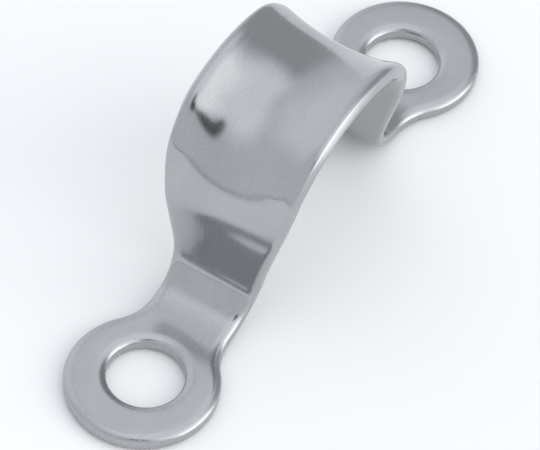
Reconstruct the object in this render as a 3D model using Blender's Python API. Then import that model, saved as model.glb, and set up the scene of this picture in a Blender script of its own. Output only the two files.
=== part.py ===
"""Rope bridge strap: a formed stainless strap with a screw eye at each end.

Metres, +Z up.  The strap runs along X and a rope passes under its crown along Y.
The undersides of both eyes lie on z = 0, and the origin is midway between the screw
holes.  The strap starts as a flat blank, where s is the distance along its centreline
from the middle of the crown and y is the distance to the side; the blank is then bent.
"""

import math

import bmesh
import bpy
from mathutils import Vector

PART_NAME = "bridge_strap"

# Screw eyes and sheet
HOLE_SPACING = 0.038
EYE_RADIUS = 0.0060
EYE_OUTSET = 0.00046        # from the hole's axis outwards to the middle of the eye's outline
HOLE_RADIUS = 0.0030
SHEET_THICKNESS = 0.0013

# Rounded border round the outline and the holes
EDGE_REACH = 0.0008         # its width
TOP_EDGE_FALL = 0.00044     # how far the upper face has dropped at the rim
UNDER_EDGE_FALL = 0.00035   # how far the under face has risen at the rim

# Side view of the top surface, from the middle of the crown outwards
CROWN_HEIGHT = 0.01645
CROWN_RADIUS = 0.0126
CROWN_SLOPE = math.radians(33.4)     # steepest slope of the crown, where the shoulder begins
SHOULDER_RADIUS = 0.00383
SHOULDER_SLOPE = math.radians(55.5)
HAUNCH_RADIUS = 0.00905              # slow bend between the shoulder and the straight leg
LEG_SLOPE = math.radians(89.9)
ROOT_RADIUS = 0.00326
ROOT_SLOPE = math.radians(12.7)
TOE_RADIUS = 0.01335                 # slow bend that lays the root's end flat

# Width of the blank
CROWN_HALF_WIDTH = 0.00550
NECK_HALF_WIDTH = 0.0035
TAPER_START = 0.0089
TAPER_END = 0.0215
NECK_REACH = math.radians(50)    # angle round the eye, each side of the strap, to its fillets

# Rise of the long edges above the centreline
EDGE_FLARE = 0.00176
FLARE_FADE_START = 0.0041
FLARE_FADE_END = 0.0122

# Fineness of the mesh
EYE_SIDES = 36
CROWN_ROWS = 5
SHOULDER_ROWS = 5
HAUNCH_ROWS = 6
LEG_ROWS = 3
ROOT_ROWS = 6
TOE_ROWS = 4
FOOT_ROWS = 1
FILLET_ROWS = 5
EDGE_STEPS = 4
WELD_DISTANCE = 0.000001

# The neck widens into the eye along a fillet that is tangent to both
FILLET_RADIUS = (
    (EYE_RADIUS * math.sin(NECK_REACH) - NECK_HALF_WIDTH) / (1 - math.sin(NECK_REACH))
)
FILLET_TO_EYE_CENTRE = (EYE_RADIUS + FILLET_RADIUS) * math.cos(NECK_REACH)
FILLET_SWEEP = math.pi / 2 - NECK_REACH
STRAP_COLUMNS = round(EYE_SIDES * 2 * NECK_REACH / math.tau)


def centreline(s, runs):
    """Position x, z and downward slope of the top surface at distance s; the last run goes on."""
    x, z, slope = 0.0, CROWN_HEIGHT, 0.0
    for run, (length, turn, _) in enumerate(runs):
        step = s if run == len(runs) - 1 else min(s, length)
        half_turn = turn * step / length / 2
        chord = step * math.sin(half_turn) / half_turn if half_turn else step
        x += chord * math.cos(slope + half_turn)
        z -= chord * math.sin(slope + half_turn)
        slope += 2 * half_turn
        s -= step
    return x, z, slope


def side_view():
    """Runs of the centreline as (length, change of downward slope, rows), to the eye's centre."""
    arcs = [
        (CROWN_RADIUS, 0.0, CROWN_SLOPE, CROWN_ROWS),
        (SHOULDER_RADIUS, CROWN_SLOPE, SHOULDER_SLOPE, SHOULDER_ROWS),
        (HAUNCH_RADIUS, SHOULDER_SLOPE, LEG_SLOPE, HAUNCH_ROWS),
        (ROOT_RADIUS, LEG_SLOPE, ROOT_SLOPE, ROOT_ROWS),
        (TOE_RADIUS, ROOT_SLOPE, 0.0, TOE_ROWS),
    ]
    runs = [(radius * abs(end - start), end - start, rows) for radius, start, end, rows in arcs]
    falls = [radius * abs(math.cos(end) - math.cos(start)) for radius, start, end, _ in arcs]
    leg_fall = CROWN_HEIGHT - SHEET_THICKNESS - sum(falls)
    runs.insert(3, (leg_fall / math.sin(LEG_SLOPE), 0.0, LEG_ROWS))
    toe_end, _, _ = centreline(sum(length for length, _, _ in runs), runs)
    runs.append((HOLE_SPACING / 2 + EYE_OUTSET - toe_end, 0.0, FOOT_ROWS))
    return runs


def fade(s, start, end):
    """Smooth step from 1 before start to 0 after end."""
    t = min(max((s - start) / (end - start), 0.0), 1.0)
    return 1 - t * t * (3 - 2 * t)


def half_width(s):
    taper = fade(s, TAPER_START, TAPER_END)
    return NECK_HALF_WIDTH + (CROWN_HALF_WIDTH - NECK_HALF_WIDTH) * taper


def blank_rows(runs):
    """Rows of (s, y) across the flat part of the blank, from the crown's middle to the eye."""
    columns = range(STRAP_COLUMNS + 1)
    angles = [NECK_REACH * (2 * column / STRAP_COLUMNS - 1) for column in columns]
    sides = [math.sin(angle) / math.sin(NECK_REACH) for angle in angles]
    stations = [0.0]
    for length, _, count in runs:
        start = stations[-1]
        stations += [start + length * row / count for row in range(1, count + 1)]
    fillet_start = stations[-1] - FILLET_TO_EYE_CENTRE
    stations = [s for s in stations if s < fillet_start] + [fillet_start]
    rows = [[(s, side * (half_width(s) - EDGE_REACH)) for side in sides] for s in stations]

    for row in range(1, FILLET_ROWS + 1):
        turn = FILLET_SWEEP * row / FILLET_ROWS
        reach = math.sin(turn) / math.sin(FILLET_SWEEP)
        fillet_rise = FILLET_RADIUS - (FILLET_RADIUS + EDGE_REACH) * math.cos(turn)
        width = NECK_HALF_WIDTH + fillet_rise
        flat_radius = EYE_RADIUS - EDGE_REACH
        rims = [FILLET_TO_EYE_CENTRE - flat_radius * math.cos(angle) for angle in angles]
        rows.append([
            (fillet_start + reach * rim, side * width) for rim, side in zip(rims, sides)
        ])
    return rows


def add_strap(bm, rows):
    """Grid of faces whose corners are moved to the rows of the blank."""
    last_row, last_column = len(rows) - 1, STRAP_COLUMNS
    grid = bmesh.ops.create_grid(bm, x_segments=last_row, y_segments=last_column, size=0.5)
    for vert in grid["verts"]:
        row = round((vert.co.x + 0.5) * last_row)
        column = round((vert.co.y + 0.5) * last_column)
        vert.co.x, vert.co.y = rows[row][column]


def add_eye(bm, centre_s):
    """Flat ring of faces between the eye's outline and the screw hole, a little inboard."""
    outline = bmesh.ops.create_circle(bm, segments=EYE_SIDES, radius=EYE_RADIUS - EDGE_REACH)
    bmesh.ops.translate(bm, verts=outline["verts"], vec=(centre_s, 0, 0))
    hole = bmesh.ops.create_circle(bm, segments=EYE_SIDES, radius=HOLE_RADIUS + EDGE_REACH)
    bmesh.ops.translate(bm, verts=hole["verts"], vec=(centre_s - EYE_OUTSET, 0, 0))
    rims = {edge for vert in outline["verts"] + hole["verts"] for edge in vert.link_edges}
    bmesh.ops.bridge_loops(bm, edges=list(rims))


def add_other_half(bm):
    """Mirror image of the flat blank, joined to it at the middle of the crown."""
    everything = bm.verts[:] + bm.edges[:] + bm.faces[:]
    bmesh.ops.mirror(bm, geom=everything, axis="X", merge_dist=WELD_DISTANCE)
    bmesh.ops.remove_doubles(bm, verts=bm.verts, dist=WELD_DISTANCE)
    bm.normal_update()
    facing_down = [face for face in bm.faces if face.normal.z < 0]
    bmesh.ops.reverse_faces(bm, faces=facing_down)


def outward(vert):
    """Direction in the flat blank that leads off the sheet at a vertex of its outline."""
    total = Vector()
    for edge in vert.link_edges:
        if edge.is_boundary:
            start, end = (corner.co for corner in edge.verts)
            along = (end - start).normalized()
            away = start - edge.link_faces[0].calc_center_median()
            total += (away - along * away.dot(along)).normalized()
    return total.normalized()


def add_edge_strips(bm, turn_layer):
    """Strips of faces round the outline and the holes; each vertex keeps the edge's turn there."""
    outline = [edge for edge in bm.edges if edge.is_boundary]
    rim = {vert: (vert.co.copy(), outward(vert)) for edge in outline for vert in edge.verts}
    for step in range(1, EDGE_STEPS + 1):
        turn = math.pi / 2 * step / EDGE_STEPS
        added = bmesh.ops.extrude_edge_only(bm, edges=outline)["geom"]
        outline = [
            item for item in added if isinstance(item, bmesh.types.BMEdge) and item.is_boundary
        ]
        new_verts = {vert for edge in outline for vert in edge.verts}
        rim = {
            edge.other_vert(vert): placed
            for vert, placed in rim.items()
            for edge in vert.link_edges
            if edge.other_vert(vert) in new_verts
        }
        for vert, (start, direction) in rim.items():
            vert.co = start + direction * EDGE_REACH * math.sin(turn)
            vert[turn_layer] = turn


def bend(bm, runs):
    """Carry the flat blank onto its side view and raise its long edges."""
    for vert in bm.verts:
        side = math.copysign(1, vert.co.x)
        s, y = abs(vert.co.x), vert.co.y
        x, z, slope = centreline(s, runs)
        rise = EDGE_FLARE * fade(s, FLARE_FADE_START, FLARE_FADE_END) * (y / half_width(s)) ** 2
        vert.co = (side * (x + rise * math.sin(slope)), y, z + rise * math.cos(slope))


def thicken(bm, turn_layer):
    """Give the bent surface its underside and walls, and round off the edges of both faces."""
    bm.normal_update()
    rim = [edge for edge in bm.edges if edge.is_boundary]
    top = bm.verts[:]
    everything = bm.verts[:] + bm.edges[:] + bm.faces[:]
    below = bmesh.ops.duplicate(bm, geom=everything)["vert_map"]
    for vert in top:
        down, fallen = -vert.normal, 1 - math.cos(vert[turn_layer])
        below[vert].co = vert.co + down * (SHEET_THICKNESS - UNDER_EDGE_FALL * fallen)
        vert.co += down * TOP_EDGE_FALL * fallen
    for edge in rim:
        start, end = edge.verts
        bm.faces.new((start, end, below[end], below[start]))
    bmesh.ops.recalc_face_normals(bm, faces=bm.faces)


def strap_mesh():
    runs = side_view()
    bm = bmesh.new()
    turn_layer = bm.verts.layers.float.new("edge_turn")
    add_strap(bm, blank_rows(runs))
    add_eye(bm, sum(length for length, _, _ in runs))
    bmesh.ops.remove_doubles(bm, verts=bm.verts, dist=WELD_DISTANCE)
    add_other_half(bm)
    add_edge_strips(bm, turn_layer)
    bend(bm, runs)
    thicken(bm, turn_layer)
    bm.verts.layers.float.remove(turn_layer)
    mesh = bpy.data.meshes.new(PART_NAME)
    bm.to_mesh(mesh)
    bm.free()
    mesh.shade_smooth()
    return mesh


def polished_stainless():
    material = bpy.data.materials.new("polished_stainless")
    material.use_nodes = True
    shader = material.node_tree.nodes["Principled BSDF"]
    shader.inputs["Base Color"].default_value = (0.44, 0.44, 0.46, 1.0)
    shader.inputs["Metallic"].default_value = 1.0
    shader.inputs["Roughness"].default_value = 0.2
    return material


def make_strap(collection):
    strap = bpy.data.objects.new(PART_NAME, strap_mesh())
    collection.objects.link(strap)
    strap.data.materials.append(polished_stainless())


def main():
    for old in list(bpy.data.objects):
        bpy.data.objects.remove(old, do_unlink=True)
    parts = bpy.data.collections.new("rope_bridge_strap")
    bpy.context.scene.collection.children.link(parts)
    make_strap(parts)


main()
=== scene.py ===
"""Polished stainless rope bridge strap on a pale floor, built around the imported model.

Metres, +Z up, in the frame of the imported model: the strap runs along X, a rope passes under
its crown along Y, and both eyes rest on z = 0.
"""

import math

import bmesh
import bpy
from mathutils import Matrix, Vector


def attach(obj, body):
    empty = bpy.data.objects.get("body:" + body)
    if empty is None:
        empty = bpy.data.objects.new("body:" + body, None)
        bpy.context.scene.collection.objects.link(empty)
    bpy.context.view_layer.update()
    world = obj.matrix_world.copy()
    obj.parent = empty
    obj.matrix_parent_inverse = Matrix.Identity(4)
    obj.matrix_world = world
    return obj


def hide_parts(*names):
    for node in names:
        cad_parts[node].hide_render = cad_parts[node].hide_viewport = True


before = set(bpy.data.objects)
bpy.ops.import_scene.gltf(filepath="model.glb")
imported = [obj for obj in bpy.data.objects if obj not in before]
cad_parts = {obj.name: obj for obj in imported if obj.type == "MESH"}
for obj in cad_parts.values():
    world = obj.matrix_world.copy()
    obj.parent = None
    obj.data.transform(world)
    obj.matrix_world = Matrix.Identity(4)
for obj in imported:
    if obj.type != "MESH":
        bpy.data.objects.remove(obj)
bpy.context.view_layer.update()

STRAP_NODE = "bridge_strap"
EDGE_TURN = "edge_turn"      # mesh attribute: how far a rounded edge has turned, in radians

# Screw eyes and sheet
HOLE_SPACING = 0.038
EYE_RADIUS = 0.0060
EYE_OUTSET = 0.00046
HOLE_RADIUS = 0.0030
SHEET_THICKNESS = 0.0013

# Rounded border round the outline and the holes
EDGE_REACH = 0.0008         # its width
TOP_EDGE_FALL = 0.00044     # how far the upper face has dropped at the rim
UNDER_EDGE_FALL = 0.00035   # how far the under face has risen at the rim

# Side view of the top surface, from the middle of the crown outwards
CROWN_HEIGHT = 0.01645
CROWN_RADIUS = 0.0126
CROWN_SLOPE = math.radians(33.4)       # steepest slope of the crown, where the shoulder begins
SHOULDER_RADIUS = 0.00383
SHOULDER_SLOPE = math.radians(55.5)
HAUNCH_RADIUS = 0.00905              # slow bend between the shoulder and the straight leg
LEG_SLOPE = math.radians(89.9)
ROOT_RADIUS = 0.00326
ROOT_SLOPE = math.radians(12.7)
TOE_RADIUS = 0.01335                 # slow bend that lays the root's end flat

# Width of the blank
CROWN_HALF_WIDTH = 0.00550
NECK_HALF_WIDTH = 0.0035
TAPER_START = 0.0089
TAPER_END = 0.0215
NECK_REACH = math.radians(50)

# Rise of the long edges above the centreline
EDGE_FLARE = 0.00176
FLARE_FADE_START = 0.0041
FLARE_FADE_END = 0.0122

# Fineness of the mesh
EYE_SIDES = 72
EYE_RINGS = 2
CROWN_ROWS = 10
SHOULDER_ROWS = 9
HAUNCH_ROWS = 12
LEG_ROWS = 6
ROOT_ROWS = 12
TOE_ROWS = 8
FOOT_ROWS = 1
FILLET_ROWS = 10
EDGE_STEPS = 8
WELD_DISTANCE = 0.000001
SUBDIVISIONS = 1

FILLET_RADIUS = (
    (EYE_RADIUS * math.sin(NECK_REACH) - NECK_HALF_WIDTH) / (1 - math.sin(NECK_REACH))
)
FILLET_TO_EYE_CENTRE = (EYE_RADIUS + FILLET_RADIUS) * math.cos(NECK_REACH)
FILLET_SWEEP = math.pi / 2 - NECK_REACH
FLAT_EYE_RADIUS = EYE_RADIUS - EDGE_REACH
FLAT_HOLE_RADIUS = HOLE_RADIUS + EDGE_REACH
STRAP_COLUMNS = round(EYE_SIDES * 2 * NECK_REACH / math.tau)

# Camera
CAMERA_AZIMUTH = math.radians(-62.542)
CAMERA_ELEVATION = math.radians(51.395)
CAMERA_ROLL = math.radians(5.565)
CAMERA_DISTANCE = 0.3225
CAMERA_AIM = Vector((-0.000861, -0.003461))     # sideways and upwards as the camera sees it
CAMERA_AIM_HEIGHT = 0.005
CAMERA_LENS = 278.7                             # millimetres, as is the sensor
CAMERA_SENSOR = 36
CAMERA_CLIP_START = 0.01

# Patterns in the steel: repeats per metre along x, y and z
FINE_MARKS = (500, 16000, 500)
BROAD_MARKS = (160, 4200, 160)
SCRATCHES = (90, 5200, 130)
WAVES = (260, 330, 260)
CLOUDS = (210, 240, 210)
GRAIN = (9000, 9000, 9000)

# Depths of the patterns in metres
WAVE_DEPTH = 0.0000022
BROAD_MARK_DEPTH = 0.0000013
DRAWN_MARK_DEPTH = 0.0000045
FINE_MARK_DEPTH = 0.00000045
GRAIN_DEPTH = 0.0000011
SCRATCH_DEPTH = -0.0000006

# Roughness of the polished faces and of the edges, and what each pattern adds at most
FACE_ROUGHNESS = 0.095
EDGE_ROUGHNESS = 0.235
HAZE_ROUGHNESS = 0.035
MARK_ROUGHNESS = 0.03
GRAIN_ROUGHNESS = 0.03
SCRATCH_ROUGHNESS = 0.10
DRAWN_ROUGHNESS = 0.04

# Colour of the steel, and how much of its mottle each pattern makes
STEEL_DARK = (0.385, 0.390, 0.400, 1.0)
STEEL_PALE = (0.485, 0.490, 0.502, 1.0)
GRAIN_SHARE = 0.6
CLOUD_SHARE = 0.4

# Where each effect sets in and where it is full
NOISE_SPAN = (0.3, 0.7)             # nearly all of a noise lies between these values
HAZE_SPAN = (0.35, 0.72)            # noise of the clouds
SCRATCH_SPAN = (0.735, 0.775)       # noise of the scratches: only its few peaks show
ROUND_SPAN = (0.2, 1.2)             # turn of an edge in radians
ABOVE_EYE_SPAN = (0.0022, 0.0045)   # height in metres
TO_CROWN_SPAN = (0.0085, 0.0125)

# Floor and tent
FLOOR_SIZE = 0.8
FLOOR_GAP = 0.00002          # the floor lies this far below the eyes
FLOOR_TONE = 0.94
FLOOR_ROUGHNESS = 0.9
TENT_TINT = (0.930, 0.952, 1.0)
LAMP_TINT = (0.985, 0.99, 1.0)
TENT_WALL = 0.87
TENT_TOP = 1.27
TENT_PANELS = [      # azimuth, elevation, half width, half height, softness in degrees; light
    (140, -1, 60, 3, 2, 0.60),      # seam between the wall and the floor
    (-5, 75, 39, 25, 14, 1.25),     # ceiling above the dark panel
    (70, 30, 26, 30, 16, 1.10),     # pale corner
    (-12, 10, 37, 35, 8, 0.54),     # dark panel beyond the far eye
    (-85, 50, 44, 20, 14, 1.52),    # wide lamp
    (-75, 19, 27, 23, 9, 2.5),      # bright lamp
]
CAMERA_GAPS = [      # opening for the camera: place and half size on a ceiling 1 m up; softness
    ((-0.585, -0.42), (0.125, 0.30), 0.25),
    ((-0.465, -0.225), (0.175, 0.10), 0.25),
]
CAMERA_GAP_LIGHT = 0.14
LEAST_STEEPNESS = 0.05       # a direction less steep than this counts as this steep
WALL_END = 58.0              # elevations between which the wall turns into the ceiling
CEILING_START = 82.0
LAMP_TINT_SPAN = 0.3         # light above the ceiling's at which the lamps' own tint is reached
MIX_VECTOR_INPUTS = (4, 5)   # sockets of a Mix node that hold vectors
MIX_VECTOR_OUTPUT = 1


def centreline(s, runs):
    """Position x, z and downward slope of the top surface at distance s; the last run goes on."""
    x, z, slope = 0.0, CROWN_HEIGHT, 0.0
    for run, (length, turn, _) in enumerate(runs):
        step = s if run == len(runs) - 1 else min(s, length)
        half_turn = turn * step / length / 2
        chord = step * math.sin(half_turn) / half_turn if half_turn else step
        x += chord * math.cos(slope + half_turn)
        z -= chord * math.sin(slope + half_turn)
        slope += 2 * half_turn
        s -= step
    return x, z, slope


def side_view():
    """Runs of the centreline as (length, change of downward slope, rows), to the eye's centre."""
    arcs = [
        (CROWN_RADIUS, 0.0, CROWN_SLOPE, CROWN_ROWS),
        (SHOULDER_RADIUS, CROWN_SLOPE, SHOULDER_SLOPE, SHOULDER_ROWS),
        (HAUNCH_RADIUS, SHOULDER_SLOPE, LEG_SLOPE, HAUNCH_ROWS),
        (ROOT_RADIUS, LEG_SLOPE, ROOT_SLOPE, ROOT_ROWS),
        (TOE_RADIUS, ROOT_SLOPE, 0.0, TOE_ROWS),
    ]
    runs = [(radius * abs(end - start), end - start, rows) for radius, start, end, rows in arcs]
    falls = [radius * abs(math.cos(end) - math.cos(start)) for radius, start, end, _ in arcs]
    leg_fall = CROWN_HEIGHT - SHEET_THICKNESS - sum(falls)
    runs.insert(3, (leg_fall / math.sin(LEG_SLOPE), 0.0, LEG_ROWS))
    toe_end, _, _ = centreline(sum(length for length, _, _ in runs), runs)
    runs.append((HOLE_SPACING / 2 + EYE_OUTSET - toe_end, 0.0, FOOT_ROWS))
    return runs


def fade(s, start, end):
    """Smooth step from 1 before start to 0 after end."""
    t = min(max((s - start) / (end - start), 0.0), 1.0)
    return 1 - t * t * (3 - 2 * t)


def half_width(s):
    taper = fade(s, TAPER_START, TAPER_END)
    return NECK_HALF_WIDTH + (CROWN_HALF_WIDTH - NECK_HALF_WIDTH) * taper


def blank_rows(runs):
    """Rows of (s, y) across the flat part of the blank, from the crown's middle to the eye."""
    columns = range(STRAP_COLUMNS + 1)
    angles = [NECK_REACH * (2 * column / STRAP_COLUMNS - 1) for column in columns]
    sides = [math.sin(angle) / math.sin(NECK_REACH) for angle in angles]
    stations = [0.0]
    for length, _, count in runs:
        start = stations[-1]
        stations += [start + length * row / count for row in range(1, count + 1)]
    fillet_start = stations[-1] - FILLET_TO_EYE_CENTRE
    stations = [s for s in stations if s < fillet_start] + [fillet_start]
    rows = [[(s, side * (half_width(s) - EDGE_REACH)) for side in sides] for s in stations]

    for row in range(1, FILLET_ROWS + 1):
        turn = FILLET_SWEEP * row / FILLET_ROWS
        reach = math.sin(turn) / math.sin(FILLET_SWEEP)
        width = NECK_HALF_WIDTH + FILLET_RADIUS - (FILLET_RADIUS + EDGE_REACH) * math.cos(turn)
        rims = [FILLET_TO_EYE_CENTRE - FLAT_EYE_RADIUS * math.cos(angle) for angle in angles]
        rows.append([
            (fillet_start + reach * rim, side * width) for rim, side in zip(rims, sides)
        ])
    return rows


def add_strap(bm, rows):
    """Grid of faces whose corners are moved to the rows of the blank."""
    last_row, last_column = len(rows) - 1, STRAP_COLUMNS
    grid = bmesh.ops.create_grid(bm, x_segments=last_row, y_segments=last_column, size=0.5)
    for vert in grid["verts"]:
        row = round((vert.co.x + 0.5) * last_row)
        column = round((vert.co.y + 0.5) * last_column)
        vert.co.x, vert.co.y = rows[row][column]


def add_eye(bm, centre_s):
    """Flat rings of faces from the eye's border to that of its hole, which is a little inboard."""
    rims = []
    for ring in range(EYE_RINGS + 1):
        inward = ring / EYE_RINGS
        radius = FLAT_EYE_RADIUS + (FLAT_HOLE_RADIUS - FLAT_EYE_RADIUS) * inward
        circle = bmesh.ops.create_circle(bm, segments=EYE_SIDES, radius=radius)["verts"]
        bmesh.ops.translate(bm, verts=circle, vec=(centre_s - EYE_OUTSET * inward, 0, 0))
        rims.append({edge for vert in circle for edge in vert.link_edges})
    for outer, inner in zip(rims, rims[1:]):
        bmesh.ops.bridge_loops(bm, edges=list(outer | inner))


def add_other_half(bm):
    """Mirror image of the flat blank, joined to it at the middle of the crown."""
    everything = bm.verts[:] + bm.edges[:] + bm.faces[:]
    bmesh.ops.mirror(bm, geom=everything, axis="X", merge_dist=WELD_DISTANCE)
    bmesh.ops.remove_doubles(bm, verts=bm.verts, dist=WELD_DISTANCE)
    bm.normal_update()
    facing_down = [face for face in bm.faces if face.normal.z < 0]
    bmesh.ops.reverse_faces(bm, faces=facing_down)


def outward(vert):
    """Direction in the flat blank that leads off the sheet at a vertex of its outline."""
    total = Vector()
    for edge in vert.link_edges:
        if edge.is_boundary:
            start, end = (corner.co for corner in edge.verts)
            along = (end - start).normalized()
            away = start - edge.link_faces[0].calc_center_median()
            total += (away - along * away.dot(along)).normalized()
    return total.normalized()


def add_edge_strips(bm, turn_layer):
    """Strips of faces round the outline and the holes; each vertex keeps the edge's turn there."""
    outline = [edge for edge in bm.edges if edge.is_boundary]
    rim = {vert: (vert.co.copy(), outward(vert)) for edge in outline for vert in edge.verts}
    for step in range(1, EDGE_STEPS + 1):
        turn = math.pi / 2 * step / EDGE_STEPS
        added = bmesh.ops.extrude_edge_only(bm, edges=outline)["geom"]
        outline = [
            item for item in added if isinstance(item, bmesh.types.BMEdge) and item.is_boundary
        ]
        new_verts = {vert for edge in outline for vert in edge.verts}
        rim = {
            edge.other_vert(vert): placed
            for vert, placed in rim.items()
            for edge in vert.link_edges
            if edge.other_vert(vert) in new_verts
        }
        for vert, (start, direction) in rim.items():
            vert.co = start + direction * EDGE_REACH * math.sin(turn)
            vert[turn_layer] = turn


def bend(bm, runs):
    """Carry the flat blank onto its side view and raise its long edges."""
    for vert in bm.verts:
        side = math.copysign(1, vert.co.x)
        s, y = abs(vert.co.x), vert.co.y
        x, z, slope = centreline(s, runs)
        rise = EDGE_FLARE * fade(s, FLARE_FADE_START, FLARE_FADE_END) * (y / half_width(s)) ** 2
        vert.co = (side * (x + rise * math.sin(slope)), y, z + rise * math.cos(slope))


def thicken(bm, turn_layer):
    """Give the bent surface its underside and walls, and round off the edges of both faces."""
    bm.normal_update()
    rim = [edge for edge in bm.edges if edge.is_boundary]
    top = bm.verts[:]
    everything = bm.verts[:] + bm.edges[:] + bm.faces[:]
    below = bmesh.ops.duplicate(bm, geom=everything)["vert_map"]
    for vert in top:
        down, fallen = -vert.normal, 1 - math.cos(vert[turn_layer])
        below[vert].co = vert.co + down * (SHEET_THICKNESS - UNDER_EDGE_FALL * fallen)
        vert.co += down * TOP_EDGE_FALL * fallen
    for edge in rim:
        start, end = edge.verts
        bm.faces.new((start, end, below[end], below[start]))
    bmesh.ops.recalc_face_normals(bm, faces=bm.faces)


def strap_mesh():
    runs = side_view()
    bm = bmesh.new()
    turn_layer = bm.verts.layers.float.new(EDGE_TURN)
    add_strap(bm, blank_rows(runs))
    add_eye(bm, sum(length for length, _, _ in runs))
    bmesh.ops.remove_doubles(bm, verts=bm.verts, dist=WELD_DISTANCE)
    add_other_half(bm)
    add_edge_strips(bm, turn_layer)
    bend(bm, runs)
    thicken(bm, turn_layer)
    mesh = bpy.data.meshes.new("strap_polished")
    bm.to_mesh(mesh)
    bm.free()
    mesh.shade_smooth()
    return mesh


def make_strap():
    strap = bpy.data.objects.new("strap_polished", strap_mesh())
    bpy.context.scene.collection.objects.link(strap)
    smooth = strap.modifiers.new("smooth", "SUBSURF")
    smooth.levels = SUBDIVISIONS
    smooth.render_levels = SUBDIVISIONS
    return strap


def add_node(tree, kind, **settings):
    """New shader node; a setting names a property of the node, or else one of its inputs."""
    node = tree.nodes.new(kind)
    for name, value in settings.items():
        if hasattr(node, name):
            setattr(node, name, value)
        else:
            node.inputs[name.replace("_", " ")].default_value = value
    return node


def calculate(tree, operation, *values):
    """Output of a Math node whose inputs are numbers or other nodes' outputs."""
    node = add_node(tree, "ShaderNodeMath", operation=operation)
    for socket, value in zip(node.inputs, values):
        if isinstance(value, (int, float)):
            socket.default_value = value
        else:
            tree.links.new(value, socket)
    return node.outputs["Value"]


def remap(tree, value, low, high, to_low, to_high):
    """Output that runs smoothly from to_low to to_high as value runs from low to high."""
    node = add_node(tree, "ShaderNodeMapRange", interpolation_type="SMOOTHSTEP")
    tree.links.new(value, node.inputs["Value"])
    for name, number in zip(("From Min", "From Max", "To Min", "To Max"),
                            (low, high, to_low, to_high)):
        node.inputs[name].default_value = number
    return node.outputs["Result"]


def noise(tree, place, stretch, detail=2.0, roughness=0.5, shift=0.0):
    """Noise of a pattern whose repeats per metre along x, y and z are given by stretch."""
    scaled = add_node(tree, "ShaderNodeMapping", Location=(shift, shift, shift), Scale=stretch)
    tree.links.new(place, scaled.inputs["Vector"])
    pattern = add_node(tree, "ShaderNodeTexNoise", Scale=1.0, Detail=detail, Roughness=roughness)
    tree.links.new(scaled.outputs["Vector"], pattern.inputs["Vector"])
    return pattern.outputs["Fac"]


def drawn_mask(tree, place):
    """1 on the legs and roots, which rubbed along the tool that bent them, and 0 elsewhere."""
    split = add_node(tree, "ShaderNodeSeparateXYZ")
    tree.links.new(place, split.inputs["Vector"])
    above_eye = remap(tree, split.outputs["Z"], *ABOVE_EYE_SPAN, 0.0, 1.0)
    below_crown = remap(tree, split.outputs["Z"], *TO_CROWN_SPAN, 1.0, 0.0)
    return calculate(tree, "MULTIPLY", above_eye, below_crown)


def polished_steel():
    """Stainless sheet, ground along the strap, then polished until only faint marks are left."""
    material = bpy.data.materials.new("polished_stainless")
    material.use_nodes = True
    tree = material.node_tree
    shader = tree.nodes["Principled BSDF"]
    shader.inputs["Metallic"].default_value = 1.0
    place = add_node(tree, "ShaderNodeTexCoord").outputs["Object"]

    # Marks run along the strap, so they change quickly across it and slowly along it
    fine_marks = noise(tree, place, FINE_MARKS, detail=3.0)
    broad_marks = noise(tree, place, BROAD_MARKS, shift=3.7)
    waves = noise(tree, place, WAVES, detail=1.0, shift=9.1)
    grain = noise(tree, place, GRAIN, roughness=0.7, shift=5.3)
    clouds = noise(tree, place, CLOUDS, detail=4.0, roughness=0.6, shift=1.9)
    scratches = noise(tree, place, SCRATCHES, detail=0.0, shift=6.4)
    scratch = remap(tree, scratches, *SCRATCH_SPAN, 0.0, 1.0)
    drawn = drawn_mask(tree, place)

    haze = remap(tree, clouds, *HAZE_SPAN, 0.0, HAZE_ROUGHNESS)
    marks = remap(tree, fine_marks, *NOISE_SPAN, 0.0, MARK_ROUGHNESS)
    speckle = remap(tree, grain, *NOISE_SPAN, 0.0, GRAIN_ROUGHNESS)
    edge_turn = add_node(tree, "ShaderNodeAttribute", attribute_name=EDGE_TURN).outputs["Fac"]
    worn = remap(tree, edge_turn, *ROUND_SPAN, FACE_ROUGHNESS, EDGE_ROUGHNESS)
    roughness = calculate(tree, "ADD", calculate(tree, "ADD", haze, marks), speckle)
    roughness = calculate(tree, "MULTIPLY_ADD", scratch, SCRATCH_ROUGHNESS, roughness)
    roughness = calculate(tree, "MULTIPLY_ADD", drawn, DRAWN_ROUGHNESS, roughness)
    roughness = calculate(tree, "ADD", roughness, worn)
    tree.links.new(roughness, shader.inputs["Roughness"])

    tone = add_node(tree, "ShaderNodeValToRGB")
    stops = zip(tone.color_ramp.elements, (STEEL_DARK, STEEL_PALE), NOISE_SPAN)
    for stop, color, position in stops:
        stop.color = color
        stop.position = position
    mottle = calculate(tree, "MULTIPLY", clouds, CLOUD_SHARE)
    mottle = calculate(tree, "MULTIPLY_ADD", grain, GRAIN_SHARE, mottle)
    tree.links.new(mottle, tone.inputs["Fac"])
    tree.links.new(tone.outputs["Color"], shader.inputs["Base Color"])

    height = calculate(tree, "MULTIPLY", waves, WAVE_DEPTH)
    drawn_marks = calculate(tree, "MULTIPLY", broad_marks, drawn)
    for pattern, depth in (
        (broad_marks, BROAD_MARK_DEPTH),
        (drawn_marks, DRAWN_MARK_DEPTH),
        (fine_marks, FINE_MARK_DEPTH),
        (grain, GRAIN_DEPTH),
        (scratch, SCRATCH_DEPTH),
    ):
        layer = calculate(tree, "MULTIPLY", pattern, depth)
        height = calculate(tree, "ADD", height, layer)
    bump = add_node(tree, "ShaderNodeBump", Strength=1.0, Distance=1.0)
    tree.links.new(height, bump.inputs["Height"])
    tree.links.new(bump.outputs["Normal"], shader.inputs["Normal"])
    return material


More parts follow.
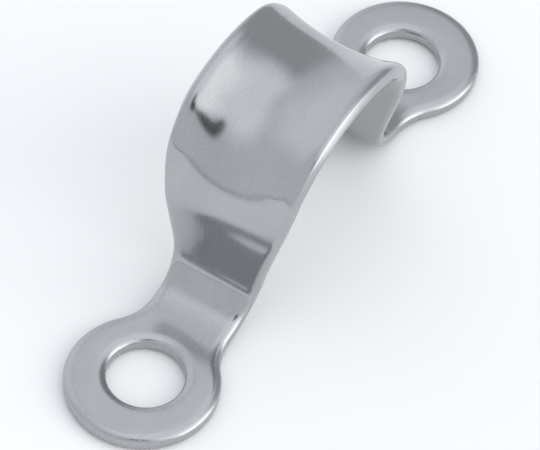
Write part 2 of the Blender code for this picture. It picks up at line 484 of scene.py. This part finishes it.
def make_floor():
    bpy.ops.mesh.primitive_plane_add(size=FLOOR_SIZE, location=(0, 0, -FLOOR_GAP))
    floor = bpy.context.object
    floor.name = "floor"
    material = bpy.data.materials.new("floor")
    material.use_nodes = True
    shader = material.node_tree.nodes["Principled BSDF"]
    shader.inputs["Base Color"].default_value = (FLOOR_TONE, FLOOR_TONE, FLOOR_TONE, 1.0)
    shader.inputs["Roughness"].default_value = FLOOR_ROUGHNESS
    shader.inputs["Specular IOR Level"].default_value = 0.0
    floor.data.materials.append(material)


def make_camera():
    azimuth, elevation, roll = CAMERA_AZIMUTH, CAMERA_ELEVATION, CAMERA_ROLL
    view = Vector((
        -math.sin(azimuth) * math.cos(elevation),
        math.cos(azimuth) * math.cos(elevation),
        -math.sin(elevation),
    ))
    level_right = Vector((math.cos(azimuth), math.sin(azimuth), 0.0))
    level_up = level_right.cross(view)
    right = level_right * math.cos(roll) + level_up * math.sin(roll)
    up = level_up * math.cos(roll) - level_right * math.sin(roll)
    aim = Vector((0, 0, CAMERA_AIM_HEIGHT)) + right * CAMERA_AIM.x + up * CAMERA_AIM.y
    data = bpy.data.cameras.new("camera")
    data.lens = CAMERA_LENS
    data.sensor_width = CAMERA_SENSOR
    data.clip_start = CAMERA_CLIP_START
    camera = bpy.data.objects.new("camera", data)
    rotation = Matrix((right, up, -view)).transposed().to_4x4()
    camera.matrix_world = Matrix.Translation(aim - view * CAMERA_DISTANCE) @ rotation
    bpy.context.scene.collection.objects.link(camera)
    bpy.context.scene.camera = camera


def cover_with(tree, light, cover, brightness):
    """Light with a patch of another brightness on it, where cover is 1."""
    change = calculate(tree, "SUBTRACT", brightness, light)
    return calculate(tree, "MULTIPLY_ADD", change, cover, light)


def panel_cover(tree, direction, elevation, panel):
    """1 inside a panel, given by azimuth, elevation, half sizes and softness, and 0 outside."""
    azimuth, height, half_turn, half_height, softness = panel
    turned = add_node(tree, "ShaderNodeVectorRotate", rotation_type="Z_AXIS",
                      Angle=math.radians(-azimuth))
    tree.links.new(direction, turned.inputs["Vector"])
    ahead = add_node(tree, "ShaderNodeSeparateXYZ")
    tree.links.new(turned.outputs["Vector"], ahead.inputs["Vector"])
    aside = calculate(tree, "ARCTAN2", ahead.outputs["Y"], ahead.outputs["X"])
    aside = calculate(tree, "ABSOLUTE", calculate(tree, "DEGREES", aside))
    off = calculate(tree, "ABSOLUTE", calculate(tree, "SUBTRACT", elevation, height))
    across = remap(tree, aside, half_turn - softness, half_turn + softness, 1.0, 0.0)
    along = remap(tree, off, half_height - softness, half_height + softness, 1.0, 0.0)
    return calculate(tree, "MULTIPLY", across, along)


def gap_cover(tree, ceiling_place, gap):
    """1 inside an oval on the ceiling, given by centre, half sizes and softness, and 0 outside."""
    centre, half_size, softness = gap
    offsets = [
        calculate(tree, "DIVIDE", calculate(tree, "SUBTRACT", place, middle), half)
        for place, middle, half in zip(ceiling_place, centre, half_size)
    ]
    squares = [calculate(tree, "MULTIPLY", offset, offset) for offset in offsets]
    reach = calculate(tree, "SQRT", calculate(tree, "ADD", *squares))
    return remap(tree, reach, 1 - softness, 1 + softness, 1.0, 0.0)


def tinted(tree, light):
    """Colour of the cloth where it is dimmer than the lamps, and of the lamps elsewhere."""
    tint = add_node(tree, "ShaderNodeMix", data_type="VECTOR")
    lamp_share = remap(tree, light, TENT_TOP, TENT_TOP + LAMP_TINT_SPAN, 0.0, 1.0)
    tree.links.new(lamp_share, tint.inputs["Factor"])
    for socket, value in zip(MIX_VECTOR_INPUTS, (TENT_TINT, LAMP_TINT)):
        tint.inputs[socket].default_value = value
    colour = add_node(tree, "ShaderNodeVectorMath", operation="SCALE")
    tree.links.new(tint.outputs[MIX_VECTOR_OUTPUT], colour.inputs[0])
    tree.links.new(light, colour.inputs["Scale"])
    return colour.outputs["Vector"]


def make_tent():
    """Studio tent round the part: pale cloth with TENT_PANELS on it and CAMERA_GAPS in it."""
    world = bpy.data.worlds.new("tent")
    world.use_nodes = True
    bpy.context.scene.world = world
    tree = world.node_tree
    direction = add_node(tree, "ShaderNodeTexCoord").outputs["Generated"]
    split = add_node(tree, "ShaderNodeSeparateXYZ")
    tree.links.new(direction, split.inputs["Vector"])
    level = split.outputs["Z"]
    elevation = calculate(tree, "DEGREES", calculate(tree, "ARCSINE", level))
    light = remap(tree, elevation, WALL_END, CEILING_START, TENT_WALL, TENT_TOP)

    for *panel, brightness in TENT_PANELS:
        light = cover_with(tree, light, panel_cover(tree, direction, elevation, panel), brightness)

    steepness = calculate(tree, "MAXIMUM", level, LEAST_STEEPNESS)
    ceiling_place = [
        calculate(tree, "DIVIDE", split.outputs[axis], steepness) for axis in ("X", "Y")
    ]
    for gap in CAMERA_GAPS:
        light = cover_with(tree, light, gap_cover(tree, ceiling_place, gap), CAMERA_GAP_LIGHT)

    background = tree.nodes["Background"]
    tree.links.new(tinted(tree, light), background.inputs["Color"])
    background.inputs["Strength"].default_value = 1.0


strap = make_strap()
strap.data.materials.append(polished_steel())
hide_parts(STRAP_NODE)
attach(strap, "root")
make_floor()
make_tent()
make_camera()
bpy.context.scene.view_settings.view_transform = "Standard"
